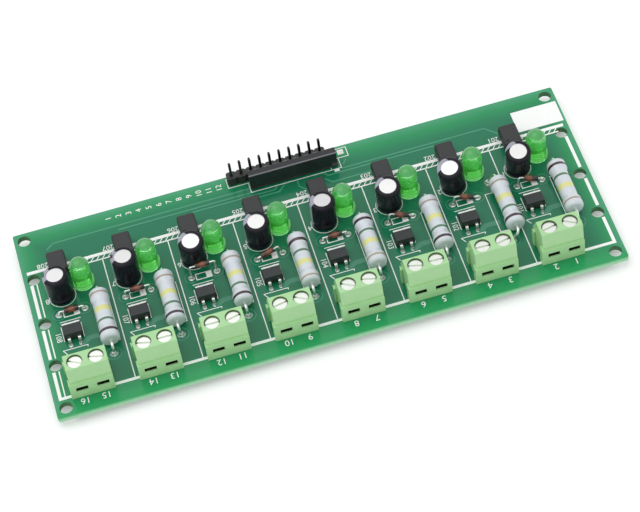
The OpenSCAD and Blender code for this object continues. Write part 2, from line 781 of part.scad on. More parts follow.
// Bridge rectifiers: a small moulded body with one bevelled edge, on four surface-mount leads
module bridge_rectifiers() {
    draft = 0.06 * bridge_h;
    bevel_w = 2 * bridge_bevel;
    top = bridge_standoff + bridge_h;
    color("dimgray")
    in_every_channel(bridge_x, bridge_y)
        difference() {
            translate([0, 0, bridge_standoff]) drafted_body([bridge_l, bridge_w, bridge_h], draft);
            bridge_lead_set();
            along_row(2 * bridge_l)
                polygon([[bridge_w / 2 - bevel_w, top + overlap], [bridge_w / 2 + overlap, top + overlap],
                         [bridge_w / 2 + overlap, top - bridge_bevel]]);
        }
}

module bridge_lead_set() {
    for (turn = [0, 180]) rotate(turn)
        for (x = pair(bridge_lead_pitch)) translate([x, bridge_w / 2, 0]) bridge_lead();
}

// A gull-wing lead: out of the body, down and out again into a flat foot
module bridge_lead() {
    root = 0.85 * bridge_foot;
    bend_r = bridge_lead_t;
    arm_z = bridge_standoff + bridge_h / 2;
    knee_y = bridge_lead_reach - bridge_foot;
    arm_end = knee_y - bend_r - bridge_lead_t;
    translate([-bridge_lead_w / 2, -root, arm_z - bridge_lead_t])
        cube([bridge_lead_w, root + arm_end, bridge_lead_t]);
    translate([bridge_lead_w / 2, arm_end, arm_z - bridge_lead_t - bend_r])
        strip_bend(bridge_lead_w, bridge_lead_t, bend_r);
    translate([-bridge_lead_w / 2, knee_y - bridge_lead_t, 0])
        cube([bridge_lead_w, bridge_lead_t, arm_z - bridge_lead_t - bend_r]);
    translate([-bridge_lead_w / 2, knee_y - bridge_lead_t, 0])
        cube([bridge_lead_w, bridge_lead_t + bridge_foot, bridge_lead_t]);
}

module bridge_pins() {
    color("silver")
    in_every_channel(bridge_x, bridge_y) bridge_lead_set();
}

// Diodes: a glass bead on bent wires, left at its own height and lean in each channel. A dipped one has its low
// end just clear of the board, on a straight wire.
dip_angle = atan((diode_d / 2 + 2 * seat_gap - fillet_h / 2) / (diode_pitch / 2 - diode_l / 2));

function diode_dip(channel) = diode_low_end[channel - 1] * dip_angle;
function diode_axis(channel) = diode_low_end[channel - 1] == 0
    ? diode_rise + diode_lift[channel - 1] - fillet_h / 2
    : diode_pitch / 2 * sin(dip_angle);
function diode_lean(channel) = atan(diode_lean_share[channel - 1] * cap_gap / diode_axis(channel));

module diodes() {
    end_r = 0.2 * diode_d;
    bead_r = diode_d / 2;
    half = diode_l / 2;
    color("sienna")
    for (c = [1:channels])
        on_channel(c, diode_x, diode_y)
            leaning(-diode_lean(c), diode_dip(c)) translate([0, 0, diode_axis(c)]) rotate([0, 90, 0])
                rotate_extrude()
                    polygon(concat(
                        [[0, -half]],
                        arc([bead_r - end_r, -half + end_r], end_r, -90, 0),
                        arc([bead_r - end_r, half - end_r], end_r, 0, 90),
                        [[0, half]]));
}

module diode_leads() {
    color("silver")
    for (c = [1:channels], end = sides)
        on_channel(c, diode_x, diode_y) rotate(end > 0 ? 0 : 180)
            axial_lead(diode_l / 2, diode_pitch / 2, diode_axis(c), diode_lead_d, diode_bend_r,
                       -end * diode_lean(c), end * diode_dip(c));
}

// Resistor network: a dipped comb of resistors in one upright body
module resistor_network() {
    length = (network_pins_n - 1) * network_pitch + 2 * network_end;
    shoulder = 0.24 * network_t;
    color("black")
    translate([network_x, network_y, top_z])
        difference() {
            translate([0, 0, network_standoff]) along_row(length)
                polygon([[-network_t / 2, 0], [network_t / 2, 0], [network_t / 2, network_h - shoulder],
                         [network_t / 2 - shoulder, network_h], [-network_t / 2 + shoulder / 2, network_h],
                         [-network_t / 2, network_h - shoulder / 2]]);
            network_pin_row();
        }
}

module network_pin_row() {
    root = 0.2 * network_h;
    for (x = row(network_pins_n, network_pitch))
        translate([x - network_pin_w / 2, -network_pin_w / 2, -board_t])
            cube([network_pin_w, network_pin_w, board_t + network_standoff + root]);
}

module network_pins() {
    color("silver")
    translate([network_x, network_y, top_z]) network_pin_row();
}

// Pin header: a notched strip on the board, with square pins pushed through it
module header_housing() {
    half_w = header_w / 2;
    half_p = header_pitch / 2;
    color("black")
    translate([header_x, header_y, top_z])
        linear_extrude(header_h)
            for (x = row(header_n, header_pitch))
                translate([x, 0])
                    difference() {
                        polygon([[-half_p, -half_w + header_notch], [-half_p + header_notch, -half_w],
                                 [half_p - header_notch, -half_w], [half_p, -half_w + header_notch],
                                 [half_p, half_w - header_notch], [half_p - header_notch, half_w],
                                 [-half_p + header_notch, half_w], [-half_p, half_w - header_notch]]);
                        square(header_pin_w, center = true);
                    }
}

module header_pins() {
    color("dimgray")
    translate([header_x, header_y, top_z])
        for (x = row(header_n, header_pitch)) translate([x, 0, 0]) header_pin();
}

// A square pin whose tip is cut to a blunt point from all four sides
module header_pin() {
    half_w = header_pin_w / 2;
    blunt = half_w * 0.4;
    intersection_for (turn = [0, 90])
        rotate(turn) rotate([90, 0, 0]) translate([0, 0, -header_pin_w / 2])
            linear_extrude(header_pin_w)
                polygon([[-half_w, -board_t], [half_w, -board_t], [half_w, header_pin_h - header_tip],
                         [blunt, header_pin_h], [-blunt, header_pin_h], [-half_w, header_pin_h - header_tip]]);
}

board();
solder_joints();
header_housing();
header_pins();
resistor_network();
network_pins();
terminal_contacts();
terminal_guards();
terminal_screws();
resistor_leads();
capacitor_sleeves();
capacitor_bungs();
capacitor_leads();
led_leads();
optocoupler_pins();
bridge_rectifiers();
bridge_pins();
diodes();
diode_leads();
for (c = [1:channels]) {
    terminal_housing(c);
    resistor(c);
    capacitor(c);
    led(c);
    optocoupler(c);
}
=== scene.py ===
# Eight-channel optocoupler isolation module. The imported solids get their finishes, and the copper,
# print and pads are added, in the order in which such a board is made and filled.
# Lengths are in millimetres, which MM turns into Blender's metres.
import math

import bmesh
import bpy
from mathutils import Matrix, Vector


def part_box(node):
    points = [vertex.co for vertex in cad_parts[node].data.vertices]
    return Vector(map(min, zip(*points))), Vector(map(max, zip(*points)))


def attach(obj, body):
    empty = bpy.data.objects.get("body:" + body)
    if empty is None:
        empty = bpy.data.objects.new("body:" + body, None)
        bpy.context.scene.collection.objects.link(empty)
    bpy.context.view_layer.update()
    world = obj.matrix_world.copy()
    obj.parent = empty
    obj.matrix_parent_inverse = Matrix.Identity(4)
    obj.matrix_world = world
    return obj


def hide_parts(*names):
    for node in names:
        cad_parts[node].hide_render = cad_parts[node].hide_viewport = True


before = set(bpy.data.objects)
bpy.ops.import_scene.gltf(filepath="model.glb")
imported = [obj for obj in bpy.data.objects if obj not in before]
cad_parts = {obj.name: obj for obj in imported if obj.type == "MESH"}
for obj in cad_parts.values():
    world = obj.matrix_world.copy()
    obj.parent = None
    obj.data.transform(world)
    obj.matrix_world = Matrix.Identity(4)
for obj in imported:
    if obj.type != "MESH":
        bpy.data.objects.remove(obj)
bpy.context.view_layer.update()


# Circuit board: a glass-fibre laminate, routed to size and drilled, with copper on both faces and a
# glossy green solder mask cured over it. The routed edge is bare laminate. Where no copper lies
# under the mask, along the rim and the front strip, the green is paler: partly its own colour over
# bare laminate and partly painted light, for the light that shines up through the laminate.
MM = 0.001
board_low, board_high = (Vector(corner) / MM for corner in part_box("board"))
board_top = board_high.z
rim_reach = 2.6
copper_reach = 7.0
rim_wander = 1.2
# Paler towards the rim: partly the mask's own colour over bare laminate, partly painted light
# shining up through it.
mask_by_inset = (
    (0.0, (0.062, 0.345, 0.182, 1)),
    (rim_reach, (0.016, 0.285, 0.100, 1)),
    (5.0, (0.011, 0.218, 0.096, 1)),
    (copper_reach, (0.010, 0.184, 0.089, 1)),
)
copper_front = (-24.0, -22.4)
front_rim_y = (-24.5, -27.5)
front_rim = (0.018, 0.330, 0.107, 1)
edge_inset = 0.5
edge_fade = 1.2
laminate_top = (0.11, 0.48, 0.20, 1)
laminate_foot = (0.39, 0.71, 0.45, 1)
# Painted shade: the walls of the drilled holes are painted dark.
hole_wall_painted_shade = (0.085, 0.225, 0.100, 1)


class Socket:
    """A shader socket that can stand in a sum: each operator adds a Math node to its material."""

    def __init__(self, tree, link):
        self.tree = tree
        self.link = link

    def node(self, kind, settings=None, inputs=None, output=0):
        """Add a node of this kind, set it up, feed its sockets and return one of its outputs."""
        added = self.tree.nodes.new(kind)
        for name, value in (settings or {}).items():
            if name == "stops":
                reach = value[-1][0]
                for position, colour in value[1:-1]:
                    added.color_ramp.elements.new(position / reach)
                for stop, (position, colour) in zip(added.color_ramp.elements, value):
                    stop.position = position / reach
                    stop.color = colour
            else:
                setattr(added, name, value)
        for name, value in (inputs or {}).items():
            if isinstance(value, Socket):
                self.tree.links.new(value.link, added.inputs[name])
            else:
                added.inputs[name].default_value = value
        return Socket(self.tree, added.outputs[output])

    def math(self, operation, first, second=0.0):
        """Add a Math node on one or two values."""
        return self.node("ShaderNodeMath", {"operation": operation}, {0: first, 1: second})

    def __add__(self, other):
        return self.math("ADD", self, other)

    __radd__ = __add__

    def __sub__(self, other):
        return self.math("SUBTRACT", self, other)

    def __rsub__(self, other):
        return self.math("SUBTRACT", other, self)

    def __mul__(self, other):
        return self.math("MULTIPLY", self, other)

    __rmul__ = __mul__

    def __truediv__(self, other):
        return self.math("DIVIDE", self, other)

    def __mod__(self, other):
        return self.math("FLOORED_MODULO", self, other)

    def __lt__(self, other):
        return self.math("LESS_THAN", self, other)

    def __gt__(self, other):
        return self.math("GREATER_THAN", self, other)

    def __abs__(self):
        return self.math("ABSOLUTE", self)


def new_finish(name, **plain):
    """A material with these plain values, and the place on its surface in millimetres."""
    material = bpy.data.materials.new(name)
    material.use_nodes = True
    tree = material.node_tree
    for socket, value in plain.items():
        tree.nodes["Principled BSDF"].inputs[socket.replace("_", " ")].default_value = value
    metres = Socket(tree, tree.nodes.new("ShaderNodeTexCoord").outputs["Object"])
    scale = {"operation": "SCALE"}
    place = metres.node("ShaderNodeVectorMath", scale, {0: metres, "Scale": 1 / MM})
    return material, place


def feed(material, **varying):
    """Link what changes over the surface to the surface shader."""
    shader = material.node_tree.nodes["Principled BSDF"]
    for socket, value in varying.items():
        material.node_tree.links.new(value.link, shader.inputs[socket.replace("_", " ")])


def axis(place, letter):
    """One of the three parts of a place or a direction."""
    return place.node("ShaderNodeSeparateXYZ", {}, {0: place}, letter)


def facing(place, letter):
    """How far the surface faces along one axis, from -1 to 1."""
    normal = place.node("ShaderNodeNewGeometry", {}, {}, "Normal")
    return axis(normal, letter)


def smooth_step(value, low, high):
    """Go softly from 0 where the value is low to 1 where it is high."""
    steps = {"interpolation_type": "SMOOTHSTEP"}
    return value.node("ShaderNodeMapRange", steps, {0: value, 1: low, 2: high})


def mix(factor, first, second):
    """The first colour where the factor is 0 and the second where it is 1."""
    return factor.node("ShaderNodeMix", {"data_type": "RGBA"}, {0: factor, 6: first, 7: second}, 2)


def ramp(value, stops):
    """The colour at this value, between stops that are counted from zero."""
    return value.node("ShaderNodeValToRGB", {"stops": stops}, {0: value / stops[-1][0]})


def speckle(place, per_mm, detail=2.0):
    """Soft noise from 0 to 1 with about this many grains to a millimetre."""
    grains = {"Vector": place, "Scale": per_mm, "Detail": detail}
    return place.node("ShaderNodeTexNoise", {}, grains)


def bump(height, depth):
    """Relief of this depth in millimetres."""
    return height.node("ShaderNodeBump", {}, {"Height": height, "Distance": depth * MM}, "Normal")


def dress(node, material):
    """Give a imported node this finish."""
    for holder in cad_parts[node].material_slots:
        holder.material = material


board_finish, place = new_finish("solder_mask")
inset_side = board_high.x - abs(axis(place, "X"))
inset_back = board_high.y - axis(place, "Y")
inset_ends = board_high.y - abs(axis(place, "Y"))
on_copper = smooth_step(axis(place, "Y"), *copper_front)
front_strip = rim_reach + (copper_reach - rim_reach) * on_copper
inset = inset_side.math("MINIMUM", inset_side, inset_back)
inset = inset.math("MINIMUM", inset, front_strip) + rim_wander * (speckle(place, 0.12) - 0.5)
# The bright front strip is partly painted light shining up through the laminate.
in_front = smooth_step(axis(place, "Y"), *front_rim_y)
mask_colour = mix(in_front, ramp(inset, mask_by_inset), front_rim)
on_edge = abs(facing(place, "Z")) < 0.5
# Edge faces inside the outline are hole walls, painted in shade.
in_hole = (inset_side > edge_inset) * (inset_ends > edge_inset)
depth_down = smooth_step(board_top - axis(place, "Z"), 0.0, edge_fade)
bare = mix(in_hole, mix(depth_down, laminate_top, laminate_foot), hole_wall_painted_shade)
fibres = speckle(place, 9.0, 3.0)
feed(
    board_finish,
    Base_Color=mix(on_edge, mask_colour, bare),
    Roughness=0.13 + 0.05 * speckle(place, 0.8) + on_edge * (0.42 + 0.2 * fibres),
    Normal=bump(speckle(place, 1.6, 1.0) + 3.0 * on_edge * fibres, 0.006),
)
dress("board", board_finish)


# Tracks: etched copper under the solder mask, which stands a few hundredths of a millimetre proud
# there and looks paler. Fine tracks lead from the optocouplers to the resistor network, wide ones
# join the bridge rectifiers to the resistors, and rings circle the pads of diodes and resistors.
track_greens = ((0.062, 0.310, 0.178, 1), (0.082, 0.355, 0.208, 1))
plane_greens = ((0.052, 0.248, 0.152, 1), (0.068, 0.275, 0.176, 1))
track_height = 0.035
track_width = 0.38
wide_track = 1.5
wide_route = ((7.0, -9.0), (8.4, -8.2), (11.4, -8.2))
diode_ring = (1.6, 0.25)
resistor_ring = (1.8, 0.3)
optocoupler_offset = 5.6
capacitor_offset = 4.7
diode_offset = 6.0
diode_span = 6.4
diode_y = 0.85
resistor_offset = 13.1
resistor_pad_y = (-14.6, 4.4)
last_channel = 8
channels = range(1, last_channel + 1)
signal_tracks = (
    ((-62.5, 21.55), (-60.8, 22.9), (-10.7, 22.9)),
    ((-44.3, 21.5), (-10.5, 21.5)),
    ((-25.6, 20.45), (-4.6, 20.45), (-3.9, 21.1)),
    ((-9.0, 19.45), (-3.7, 19.45), (-1.9, 21.1)),
    ((2.8, 17.9), (1.4, 19.3), (1.4, 21.3)),
    ((20.0, 17.9), (9.6, 17.9), (8.2, 19.3)),
    ((36.4, 20.25), (9.2, 20.25), (8.4, 21.0)),
    ((52.6, 18.6), (49.8, 21.3), (13.2, 21.3)),
    ((13.7, 22.5), (14.6, 23.8)),
)
sunk = 0.02
hair = 0.003
hair_steps = 5


def channel_left(channel):
    """X of the line to the left of a channel, from its optocoupler."""
    low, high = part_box(f"optocoupler_{channel}")
    return (low[0] + high[0]) / 2 / MM - optocoupler_offset


pitch = channel_left(1) - channel_left(2)


def lay(shape, verts, x, y):
    """Lay a flat mark on the board, a hair off the one before, so that no two share a plane."""
    height = board_top - sunk + hair * (len(shape.faces) % hair_steps)
    bmesh.ops.translate(shape, vec=(x, y, height), verts=verts)


def stroke(shape, start, end, width, rounding=10):
    """A flat line with round ends on the board's top face."""
    along = Vector(end) - Vector(start)
    disc = bmesh.ops.create_circle(shape, cap_ends=True, segments=rounding, radius=width / 2)
    ends = disc["verts"]
    bmesh.ops.rotate(shape, matrix=Matrix.Rotation(math.pi / rounding, 3, "Z"), verts=ends)
    far_end = [vert for vert in ends if vert.co.x > 0]
    bmesh.ops.translate(shape, vec=(along.length, 0, 0), verts=far_end)
    heading = Matrix.Rotation(math.atan2(along.y, along.x), 3, "Z")
    bmesh.ops.rotate(shape, matrix=heading, verts=ends)
    lay(shape, ends, *start)


def polyline(shape, points, width):
    """A run of flat lines from point to point."""
    for start, end in zip(points, points[1:]):
        stroke(shape, start, end, width)


def circle(shape, x, y, radius, width, sides=48):
    """A flat ring."""
    edges = []
    for reach in (radius - width / 2, radius + width / 2):
        ring = bmesh.ops.create_circle(shape, segments=sides, radius=reach)["verts"]
        lay(shape, ring, x, y)
        edges += list({edge for vert in ring for edge in vert.link_edges})
    bmesh.ops.bridge_loops(shape, edges=edges)


def raise_layer(shape, height):
    """Give all flat faces of a layer their height above the board."""
    raised = bmesh.ops.extrude_face_region(shape, geom=shape.faces[:])["geom"]
    tops = [part for part in raised if isinstance(part, bmesh.types.BMVert)]
    bmesh.ops.translate(shape, vec=(0, 0, height + sunk), verts=tops)
    bmesh.ops.recalc_face_normals(shape, faces=shape.faces[:])


def add_piece(name, shape, material):
    """Make a shape drawn in millimetres a piece that rides on the board."""
    bmesh.ops.scale(shape, vec=(MM, MM, MM), verts=shape.verts[:])
    mesh = bpy.data.meshes.new(name)
    shape.to_mesh(mesh)
    shape.free()
    mesh.materials.append(material)
    piece = bpy.data.objects.new(name, mesh)
    bpy.context.collection.objects.link(piece)
    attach(piece, "root")
    return piece


def mask_finish(name, greens):
    """Solder mask over copper, between two greens."""
    material, place = new_finish(name)
    feed(
        material,
        Base_Color=mix(speckle(place, 0.4), *greens),
        Roughness=0.14 + 0.06 * speckle(place, 0.8),
        Normal=bump(speckle(place, 1.6, 1.0), 0.006),
    )
    return material


def shifted(points, left):
    """Points of one channel, counted from the line at its left, in their place on the board."""
    return [(left + x, y) for x, y in points]


track_finish = mask_finish("mask_over_track", track_greens)
plane_finish = mask_finish("mask_over_plane", plane_greens)
tracks = bmesh.new()
for route in signal_tracks:
    polyline(tracks, route, track_width)
raise_layer(tracks, track_height)
add_piece("copper_tracks", tracks, track_finish)
planes = bmesh.new()
for channel in channels:
    left = channel_left(channel)
    polyline(planes, shifted(wide_route, left), wide_track)
    for side in (-1, 1):
        circle(planes, left + diode_offset + side * diode_span / 2, diode_y, *diode_ring)
    circle(planes, left + resistor_offset, resistor_pad_y[0], *resistor_ring)
raise_layer(planes, track_height)
add_piece("copper_planes", planes, plane_finish)


# Pads: rings of copper that the mask leaves open, tinned when the board is levelled with hot air,
# so each has a thin domed skin of solder. The bridge rectifiers have flat lands, and square ones
# close the two spare places beside the header.
tin_tones = ((0.64, 0.66, 0.65, 1), (0.88, 0.89, 0.87, 1))
# Painted shade: the resistor pads get a darker, greener tin, for shade and a dim reflection beside
# the resistor bodies.
tin_painted_shade = (0.38, 0.46, 0.42, 1)
pad_sides = 32
resistor_pad = (0.53, 0.55)
diode_pad = (0.4, 0.48)
capacitor_pad = (0.4, 0.4)
capacitor_half = 1.25
resistor_pad_half = 1.5
resistor_pads_end = 10.0
dome = 0.09
pad_profile = ((0.0, -sunk), (0.1, dome), (0.7, dome), (1.0, -sunk))
skin = 0.02
bridge_land_x = (3.75, 6.25)
bridge_land_y = ((-9.5, -8.0), (-3.2, -1.9))
land_width = 1.05
land_rounding = 16
capacitor_y = 6.25
spare_header_x = (11.43, 13.97)
header_y = 26.5
spare_half = 0.78


def ring_pad(shape, x, y, bore, width):
    """A domed ring round a lead hole."""
    loops = []
    for share, height in pad_profile:
        radius = bore + share * width
        ring = bmesh.ops.create_circle(shape, segments=pad_sides, radius=radius)["verts"]
        bmesh.ops.translate(shape, vec=(x, y, board_top + height), verts=ring)
        loops.append(list({edge for vert in ring for edge in vert.link_edges}))
    for inner, outer in zip(loops, loops[1:] + loops[:1]):
        bmesh.ops.bridge_loops(shape, edges=inner + outer)


def block(shape, corners):
    """A flat rectangle between two corners."""
    (low_x, low_y), (high_x, high_y) = corners
    patch = bmesh.ops.create_grid(shape, x_segments=1, y_segments=1, size=0.5)["verts"]
    bmesh.ops.scale(shape, vec=(high_x - low_x, high_y - low_y, 1), verts=patch)
    lay(shape, patch, (low_x + high_x) / 2, (low_y + high_y) / 2)


def across_channel(place):
    """How far the surface lies from the line at the left of its channel."""
    return (axis(place, "X") - channel_left(last_channel)) % pitch


tinned_finish, place = new_finish("tinned_copper", Metallic=1.0)
tin = mix(speckle(place, 1.2), *tin_tones)
# Where the resistor pads lie, the tin is painted darker as shade.
shade_by_resistor = abs(across_channel(place) - resistor_offset) < resistor_pad_half
shade_by_resistor = shade_by_resistor * (axis(place, "Y") < resistor_pads_end)
feed(
    tinned_finish,
    Base_Color=mix(shade_by_resistor, tin, tin_painted_shade),
    Roughness=0.22 + 0.18 * speckle(place, 2.5),
    Normal=bump(speckle(place, 3.0), 0.02),
)
pads = bmesh.new()
for channel in channels:
    left = channel_left(channel)
    for y in resistor_pad_y:
        ring_pad(pads, left + resistor_offset, y, *resistor_pad)
    for side in (-1, 1):
        ring_pad(pads, left + diode_offset + side * diode_span / 2, diode_y, *diode_pad)
        ring_pad(pads, left + capacitor_offset + side * capacitor_half, capacitor_y, *capacitor_pad)
bmesh.ops.recalc_face_normals(pads, faces=pads.faces[:])
add_piece("tinned_pads", pads, tinned_finish)
lands = bmesh.new()
for channel in channels:
    for x in bridge_land_x:
        for low_y, high_y in bridge_land_y:
            middle, round_end = channel_left(channel) + x, land_width / 2
            start, end = (middle, low_y + round_end), (middle, high_y - round_end)
            stroke(lands, start, end, land_width, land_rounding)
for x in spare_header_x:
    corners = [(x + side * spare_half, header_y + side * spare_half) for side in (-1, 1)]
    block(lands, corners)
raise_layer(lands, skin)
add_piece("bridge_lands", lands, tinned_finish)


# White print: epoxy ink screened over the mask and baked. It marks the channels, the barrier
# between the two sides and the outlines of the parts, with plain numbers for the parts, the
# terminals and the header.
ink_tones = ((0.93, 0.95, 0.94, 1), (0.99, 1.00, 0.99, 1))
ink_height = 0.05
fine_line = 0.2
capacitor_mark = (4.75, 6.25, 3.28, 0.16)
diode_mark = ((3.9, -0.25), (7.7, 1.5))
diode_mark_line = 0.24
cathode_mark = ((6.4, -0.2), (7.7, 1.45))
bridge_marks = (
    ((2.6, -1.5), (7.6, -1.5)),
    ((2.5, -3.0), (2.5, -7.3)),
    ((7.4, -3.0), (7.4, -7.3)),
    ((2.4, -11.2), (1.65, -9.95), (7.7, -9.95), (7.6, -10.4)),
)
resistor_mark = ((11.2, -11.2), (15.3, 1.0))
divider = ((-0.1, -23.0), (-0.1, 13.9))
divider_line = 0.26
side_lines_x = ((-68.7, -67.9), (-67.2, -66.9), (67.85, 68.65))
side_lines_y = ((-23.7, -15.3), (-11.4, -2.5), (1.3, 11.8))
front_line = ((-68.6, -23.68), (68.55, -22.92))
barrier_line = ((-68.8, 15.2), (68.8, 16.1))
barrier_foot = ((-63.2, 13.84), (67.0, 14.18))
hatch_count = 90
hatch_pitch = 1.45
hatch_slash = ((-63.0, 14.3), (-62.25, 15.2))
hatch_line = 0.3
square_ends = 4
blank_panel = ((57.6, 17.0), (69.45, 23.7))
header_mark = ((-15.4, 24.75), (15.6, 27.7))
network_marks = (
    ((-10.3, 24.5), (-10.3, 21.55), (12.93, 21.55), (12.93, 24.5)),
    ((10.4, 21.55), (10.4, 24.5)),
)
network_first_pin = ((11.0, 20.7), (12.25, 21.5))
terminal_offset = 6.4
way_half = 2.54
terminal_numbers_y = -25.55
terminal_number_height = 1.75
terminal_number_turn = 180
channel_numbers = (
    (200, (1.9, 17.0), 1.4, 180),
    (0, (0.95, 5.7), 1.5, 180),
    (100, (1.35, -5.8), 1.4, -90),
)
header_numbers = 12
header_number_first = (-46.0, 25.8)
header_number_pitch = 2.582
header_number_height = 1.5
header_number_turn = 90
digit_share = 0.72


def outline(shape, corners, width=fine_line):
    """A rectangle between two corners, drawn in line."""
    (low_x, low_y), (high_x, high_y) = corners
    front, back = [(low_x, low_y), (high_x, low_y)], [(high_x, high_y), (low_x, high_y)]
    polyline(shape, front + back + front[:1], width)


def number(shape, value, x, y, height, turn):
    """A plain number, centred on its place and turned by this many degrees."""
    curve = bpy.data.curves.new("number", "FONT")
    curve.body = str(value)
    curve.size = height / digit_share
    curve.align_x = "CENTER"
    curve.align_y = "CENTER"
    curve.resolution_u = 3
    holder = bpy.data.objects.new("number", curve)
    bpy.context.collection.objects.link(holder)
    flat = holder.to_mesh().copy()
    turned = Matrix.Rotation(math.radians(turn), 4, "Z")
    flat.transform(Matrix.Translation((x, y, board_top - sunk)) @ turned)
    shape.from_mesh(flat)
    bpy.data.objects.remove(holder)
    bpy.data.curves.remove(curve)
    bpy.data.meshes.remove(flat)


def print_channel(shape, left):
    """The outlines of one channel's parts."""
    x, y, radius, line = capacitor_mark
    circle(shape, left + x, y, radius, line)
    outline(shape, shifted(diode_mark, left), diode_mark_line)
    block(shape, shifted(cathode_mark, left))
    for route in bridge_marks:
        polyline(shape, shifted(route, left), fine_line)
    outline(shape, shifted(resistor_mark, left))


ink_finish, place = new_finish("white_ink")
feed(
    ink_finish,
    Base_Color=mix(speckle(place, 2.0), *ink_tones),
    Roughness=0.45 + 0.2 * speckle(place, 4.0),
    Normal=bump(speckle(place, 9.0), 0.008),
)
marks = bmesh.new()
for channel in channels:
    left = channel_left(channel)
    print_channel(marks, left)
    if channel < last_channel:
        polyline(marks, shifted(divider, left), divider_line)
for low_y, high_y in side_lines_y:
    for low_x, high_x in side_lines_x:
        block(marks, ((low_x, low_y), (high_x, high_y)))
block(marks, front_line)
block(marks, barrier_line)
block(marks, barrier_foot)
for step in range(hatch_count):
    stroke(marks, *shifted(hatch_slash, hatch_pitch * step), hatch_line, square_ends)
block(marks, blank_panel)
outline(marks, header_mark)
for route in network_marks:
    polyline(marks, route, fine_line)
block(marks, network_first_pin)
raise_layer(marks, ink_height)
add_piece("white_print", marks, ink_finish)

numbers = bmesh.new()
for channel in channels:
    left = channel_left(channel)
    for value, side in ((2 * channel - 1, 1), (2 * channel, -1)):
        x, y = left + terminal_offset + side * way_half, terminal_numbers_y
        number(numbers, value, x, y, terminal_number_height, terminal_number_turn)
    for first, (x, y), height, turn in channel_numbers:
        number(numbers, first + channel, left + x, y, height, turn)
for index in range(header_numbers):
    x, y = header_number_first
    x += header_number_pitch * index
    number(numbers, index + 1, x, y, header_number_height, header_number_turn)
raise_layer(numbers, ink_height)
add_piece("printed_numbers", numbers, ink_finish)


# Solder joints: a cone of bright tin alloy under every lead, left by the wave that the finished
# board passes over. Each stands on a tinned ring, masked tracks join them on the underside, and the
# wave also closes the two spare places beside the header.
solder_tones = ((0.60, 0.61, 0.61, 1), (0.80, 0.81, 0.80, 1))
touching = 0.001
lead_row = 3.81
lead_half = 1.27
light_offset = 10.49
light_y = 8.6
screw_y = -20.95
network_middle = 1.0
network_y = 23.4
pin_pitch = 2.54
linked_pins = range(-4, 4)
header_pins_right = 0.27
line_bend_y = -16.8
return_end_y = -13.0
feed_bend_y = 7.3
plus_bend_y = 3.0
minus_bend_y = 4.6
bus_y = 20.6
joint_share = 0.8
pad_rim = 0.22
line_width = 1.6
feed_width = 1.0
signal_width = 0.8
pin_width = 0.5


def joint_places(node):
    """Where each solder joint meets the underside and how wide it is there, from a merged copy."""
    joints = bmesh.new()
    joints.from_mesh(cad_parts[node].data)
    bmesh.ops.remove_doubles(joints, verts=joints.verts[:], dist=touching * MM)
    waiting, places = set(joints.verts), []
    for start in joints.verts:
        if start not in waiting:
            continue
        waiting.remove(start)
        island, fresh = [], [start]
        while fresh:
            vert = fresh.pop()
            island.append(vert)
            near = {edge.other_vert(vert) for edge in vert.link_edges} & waiting
            waiting -= near
            fresh += near
        spots = [vert.co / MM for vert in island]
        low, high = ([pick(way) for way in zip(*spots)] for pick in (min, max))
        if low[2] < board_low.z - sunk:
            middle = [(low[way] + high[way]) / 2 for way in (0, 1)]
            places.append((*middle, (high[0] - low[0]) / 2))
    joints.free()
    return places


def turn_over(shape):
    """Bring a layer drawn on the board's top face to its underside."""
    middle = Matrix.Translation((0, 0, -(board_low.z + board_high.z) / 2))
    bmesh.ops.scale(shape, vec=(1, 1, -1), space=middle, verts=shape.verts[:])
    bmesh.ops.recalc_face_normals(shape, faces=shape.faces[:])


solder_finish, place = new_finish("solder", Metallic=1.0)
feed(
    solder_finish,
    Base_Color=mix(speckle(place, 0.9), *solder_tones),
    Roughness=0.16 + 0.2 * speckle(place, 1.8),
    Normal=bump(speckle(place, 2.2), 0.03),
)
dress("solder_joints", solder_finish)
under_pads = bmesh.new()
for x, y, radius in joint_places("solder_joints"):
    ring_pad(under_pads, x, y, joint_share * radius, (1 - joint_share) * radius + pad_rim)
turn_over(under_pads)
add_piece("underside_pads", under_pads, tinned_finish)
under_lands = bmesh.new()
for x in spare_header_x:
    disc = bmesh.ops.create_circle(
        under_lands, cap_ends=True, segments=pad_sides, radius=spare_half,
    )
    lay(under_lands, disc["verts"], x, header_y)
raise_layer(under_lands, dome)
turn_over(under_lands)
add_piece("underside_lands", under_lands, tinned_finish)
under_tracks = bmesh.new()
for channel in channels:
    left = channel_left(channel)
    low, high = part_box(f"optocoupler_{channel}")
    pins_front, pins_back = ((low[1] + high[1]) / 2 / MM + side * lead_row for side in (-1, 1))
    line_x, return_x = terminal_offset + way_half, terminal_offset - way_half
    feed_x, (pad_front, pad_back) = resistor_offset, resistor_pad_y
    plus_x, minus_x = capacitor_offset + capacitor_half, capacitor_offset - capacitor_half
    diode_right, diode_left = diode_offset + diode_span / 2, diode_offset - diode_span / 2
    anode_x, cathode_x = light_offset + lead_half, light_offset - lead_half
    lamp_x, ground_x = optocoupler_offset + lead_half, optocoupler_offset - lead_half
    bus_end = ground_x - pitch * (channel < last_channel)
    routes = (
        (line_width, (line_x, screw_y), (feed_x, line_bend_y), (feed_x, pad_front)),
        (line_width, (return_x, screw_y), (return_x, return_end_y)),
        (feed_width, (feed_x, pad_back), (feed_x, feed_bend_y), (anode_x, light_y)),
        (signal_width, (cathode_x, light_y), (lamp_x, pins_front)),
        (signal_width, (plus_x, capacitor_y), (diode_right, plus_bend_y), (diode_right, diode_y)),
        (signal_width, (minus_x, capacitor_y), (diode_left, minus_bend_y), (diode_left, diode_y)),
        (signal_width, (minus_x, capacitor_y), (ground_x, pins_front)),
        (feed_width, (ground_x, pins_back), (ground_x, bus_y), (bus_end, bus_y)),
    )
    for width, *points in routes:
        polyline(under_tracks, shifted(points, left), width)
for pin in linked_pins:
    pin_x = network_middle + pin_pitch * pin
    stroke(under_tracks, (pin_x, network_y), (pin_x + header_pins_right, header_y), pin_width)
raise_layer(under_tracks, track_height)
turn_over(under_tracks)
add_piece("underside_tracks", under_tracks, track_finish)
